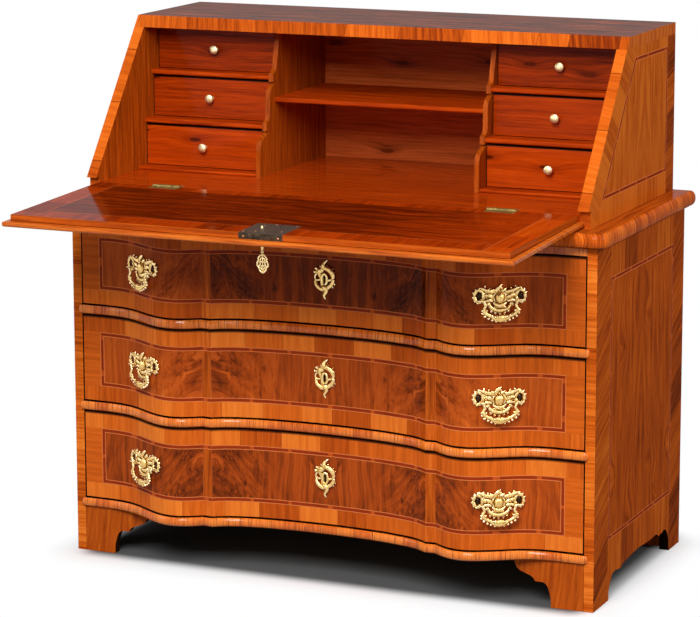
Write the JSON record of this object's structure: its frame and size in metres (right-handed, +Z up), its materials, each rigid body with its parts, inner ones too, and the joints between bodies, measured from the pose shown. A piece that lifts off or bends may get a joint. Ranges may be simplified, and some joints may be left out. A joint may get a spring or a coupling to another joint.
{
  "type": "slant-front escritoire",
  "caption": "Walnut slant-front escritoire with a serpentine chest of drawers, falling writing flap, stepped interior of small drawers and cast brass handles.",
  "frame": {"origin": "floor level, under the middle of the bounding box with the flap open", "axes": "+X to the right along the front, +Y to the back, +Z up; the drawers open towards -Y"},
  "size_m": [1.166, 0.8798, 1.0797],
  "materials": {
    "walnut_veneer": "glossy French polish",
    "fruitwood": "polished solid wood",
    "softwood": "plain planed softwood",
    "brass": "cast and polished",
    "iron": "dark patinated iron"
  },
  "bodies": {
    "case": {"left_case_side": "walnut_veneer", "right_case_side": "walnut_veneer", "case_back": "softwood", "case_bottom": "softwood", "base_rail": "walnut_veneer", "front_rails": "walnut_veneer", "drawer_runners": "softwood", "feet": "walnut_veneer", "case_top": "walnut_veneer", "case_top_moulding": "walnut_veneer", "desk_left_side": "walnut_veneer", "desk_right_side": "walnut_veneer", "desk_top": "walnut_veneer", "desk_back": "fruitwood", "desk_floor": "walnut_veneer", "desk_partitions": "fruitwood", "bank_shelves": "fruitwood", "centre_shelf": "fruitwood", "hinge_floor_leaves": "brass"},
    "flap": {"flap_panel": "walnut_veneer", "flap_lipping": "walnut_veneer", "hinge_flap_leaves": "brass", "flap_lock_case": "iron", "flap_escutcheon": "brass"},
    "flap_bolt": {"flap_lock_bolt": "iron"},
    "flap_key": {"flap_key": "brass"},
    "top_drawer": {"top_drawer_front": "walnut_veneer", "top_drawer_box": "softwood", "top_drawer_brasses": "brass", "top_drawer_lock": "iron"},
    "top_drawer_bolt": {"top_drawer_lock_bolt": "iron"},
    "top_drawer_left_bail": {"top_drawer_left_bail": "brass"},
    "top_drawer_right_bail": {"top_drawer_right_bail": "brass"},
    "middle_drawer": {"middle_drawer_front": "walnut_veneer", "middle_drawer_box": "softwood", "middle_drawer_brasses": "brass", "middle_drawer_lock": "iron"},
    "middle_drawer_bolt": {"middle_drawer_lock_bolt": "iron"},
    "middle_drawer_left_bail": {"middle_drawer_left_bail": "brass"},
    "middle_drawer_right_bail": {"middle_drawer_right_bail": "brass"},
    "bottom_drawer": {"bottom_drawer_front": "walnut_veneer", "bottom_drawer_box": "softwood", "bottom_drawer_brasses": "brass", "bottom_drawer_lock": "iron"},
    "bottom_drawer_bolt": {"bottom_drawer_lock_bolt": "iron"},
    "bottom_drawer_left_bail": {"bottom_drawer_left_bail": "brass"},
    "bottom_drawer_right_bail": {"bottom_drawer_right_bail": "brass"},
    "left_upper_small_drawer": {"left_upper_small_drawer": "fruitwood", "left_upper_knob": "brass"},
    "left_middle_small_drawer": {"left_middle_small_drawer": "fruitwood", "left_middle_knob": "brass"},
    "left_lower_small_drawer": {"left_lower_small_drawer": "fruitwood", "left_lower_knob": "brass"},
    "right_upper_small_drawer": {"right_upper_small_drawer": "fruitwood", "right_upper_knob": "brass"},
    "right_middle_small_drawer": {"right_middle_small_drawer": "fruitwood", "right_middle_knob": "brass"},
    "right_lower_small_drawer": {"right_lower_small_drawer": "fruitwood", "right_lower_knob": "brass"}
  },
  "joints": [
    {"name": "flap_hinge", "type": "hinge", "parent": "case", "child": "flap", "pos_m": [0, -0.06966, 0.7647], "axis": [1, 0, 0], "range_deg": [-128.9, 0]},
    {"name": "flap_key_turn", "type": "hinge", "parent": "flap", "child": "flap_key", "pos_m": [0, -0.37984, 0.73362], "axis": [0, -0.028, 0.9996], "range_deg": [0, 90]},
    {"name": "flap_bolt_slide", "type": "slide", "parent": "flap", "child": "flap_bolt", "axis": [0, -0.9996, -0.028], "range_m": [0, 0.012]},
    {"name": "top_drawer_slide", "type": "slide", "parent": "case", "child": "top_drawer", "axis": [0, -1, 0], "range_m": [0, 0.25]},
    {"name": "top_drawer_bolt_slide", "type": "slide", "parent": "top_drawer", "child": "top_drawer_bolt", "axis": [0, 0, 1], "range_m": [0, 0.01]},
    {"name": "top_drawer_left_bail_swing", "type": "hinge", "parent": "top_drawer", "child": "top_drawer_left_bail", "pos_m": [-0.38599, -0.14512, 0.60575], "axis": [-0.8431, 0.5378, 0], "range_deg": [0, 85]},
    {"name": "top_drawer_right_bail_swing", "type": "hinge", "parent": "top_drawer", "child": "top_drawer_right_bail", "pos_m": [0.38599, -0.14512, 0.60575], "axis": [-0.8431, -0.5378, 0], "range_deg": [0, 85]},
    {"name": "middle_drawer_slide", "type": "slide", "parent": "case", "child": "middle_drawer", "axis": [0, -1, 0], "range_m": [0, 0.3]},
    {"name": "middle_drawer_bolt_slide", "type": "slide", "parent": "middle_drawer", "child": "middle_drawer_bolt", "axis": [0, 0, 1], "range_m": [0, 0.01]},
    {"name": "middle_drawer_left_bail_swing", "type": "hinge", "parent": "middle_drawer", "child": "middle_drawer_left_bail", "pos_m": [-0.38599, -0.14512, 0.40775], "axis": [-0.8431, 0.5378, 0], "range_deg": [0, 85]},
    {"name": "middle_drawer_right_bail_swing", "type": "hinge", "parent": "middle_drawer", "child": "middle_drawer_right_bail", "pos_m": [0.38599, -0.14512, 0.40775], "axis": [-0.8431, -0.5378, 0], "range_deg": [0, 85]},
    {"name": "bottom_drawer_slide", "type": "slide", "parent": "case", "child": "bottom_drawer", "axis": [0, -1, 0], "range_m": [0, 0.3]},
    {"name": "bottom_drawer_bolt_slide", "type": "slide", "parent": "bottom_drawer", "child": "bottom_drawer_bolt", "axis": [0, 0, 1], "range_m": [0, 0.01]},
    {"name": "bottom_drawer_left_bail_swing", "type": "hinge", "parent": "bottom_drawer", "child": "bottom_drawer_left_bail", "pos_m": [-0.38599, -0.14512, 0.206], "axis": [-0.8431, 0.5378, 0], "range_deg": [0, 85]},
    {"name": "bottom_drawer_right_bail_swing", "type": "hinge", "parent": "bottom_drawer", "child": "bottom_drawer_right_bail", "pos_m": [0.38599, -0.14512, 0.206], "axis": [-0.8431, -0.5378, 0], "range_deg": [0, 85]},
    {"name": "left_upper_small_drawer_slide", "type": "slide", "parent": "case", "child": "left_upper_small_drawer", "axis": [0, -1, 0], "range_m": [0, 0.15]},
    {"name": "left_middle_small_drawer_slide", "type": "slide", "parent": "case", "child": "left_middle_small_drawer", "axis": [0, -1, 0], "range_m": [0, 0.17]},
    {"name": "left_lower_small_drawer_slide", "type": "slide", "parent": "case", "child": "left_lower_small_drawer", "axis": [0, -1, 0], "range_m": [0, 0.2]},
    {"name": "right_upper_small_drawer_slide", "type": "slide", "parent": "case", "child": "right_upper_small_drawer", "axis": [0, -1, 0], "range_m": [0, 0.15]},
    {"name": "right_middle_small_drawer_slide", "type": "slide", "parent": "case", "child": "right_middle_small_drawer", "axis": [0, -1, 0], "range_m": [0, 0.17]},
    {"name": "right_lower_small_drawer_slide", "type": "slide", "parent": "case", "child": "right_lower_small_drawer", "axis": [0, -1, 0], "range_m": [0, 0.2]}
  ],
  "couplings": [
    {"joint": "flap_key_turn", "follows": "flap_bolt_slide", "rad_per_m": 130.9}
  ]
}
